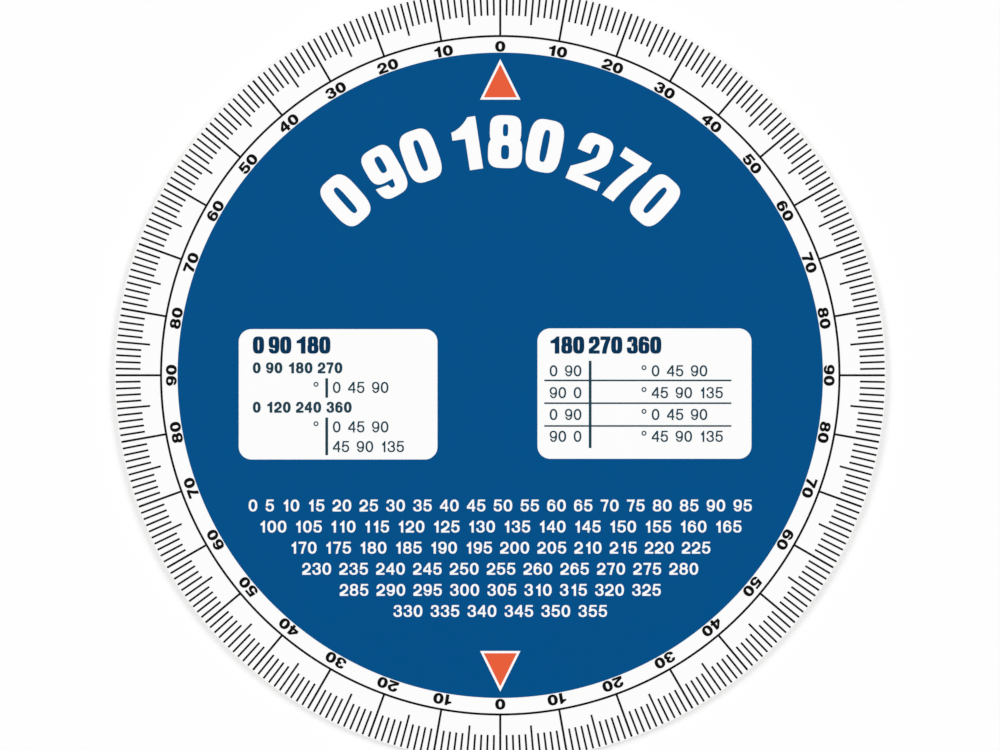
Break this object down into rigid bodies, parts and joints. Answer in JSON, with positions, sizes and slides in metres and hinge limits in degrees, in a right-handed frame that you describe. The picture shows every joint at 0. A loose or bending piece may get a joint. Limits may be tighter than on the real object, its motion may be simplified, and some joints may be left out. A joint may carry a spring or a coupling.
{
  "type": "degree wheel",
  "caption": "Flat round degree wheel with a printed 0-90-0-90-0 scale, zero arrows and two write-on panels, bored at the back for a crankshaft.",
  "frame": {"origin": "centre of the back face, on the wheel's axis, where the wheel lies on a flat surface", "axes": "+Z along the wheel's axis and out of the printed face; +Y towards the upper zero of the scale; +X towards the right-hand ninety"},
  "size_m": [0.2, 0.2, 0.0022],
  "materials": {
    "backing_plastic": "satin",
    "white_film": "satin",
    "blue_ink": "satin",
    "black_ink": "satin",
    "orange_ink": "satin",
    "panel_ink": "satin"
  },
  "bodies": {
    "root": {"backing_disc": "backing_plastic", "face_film": "white_film", "blue_field": "blue_ink", "scale_ring": "black_ink", "five_degree_lines": "black_ink", "one_degree_lines": "black_ink", "upper_zero_arrow": "orange_ink", "lower_zero_arrow": "orange_ink", "ignition_panel_bars": "panel_ink", "timing_panel_table": "panel_ink"}
  },
  "joints": []
}
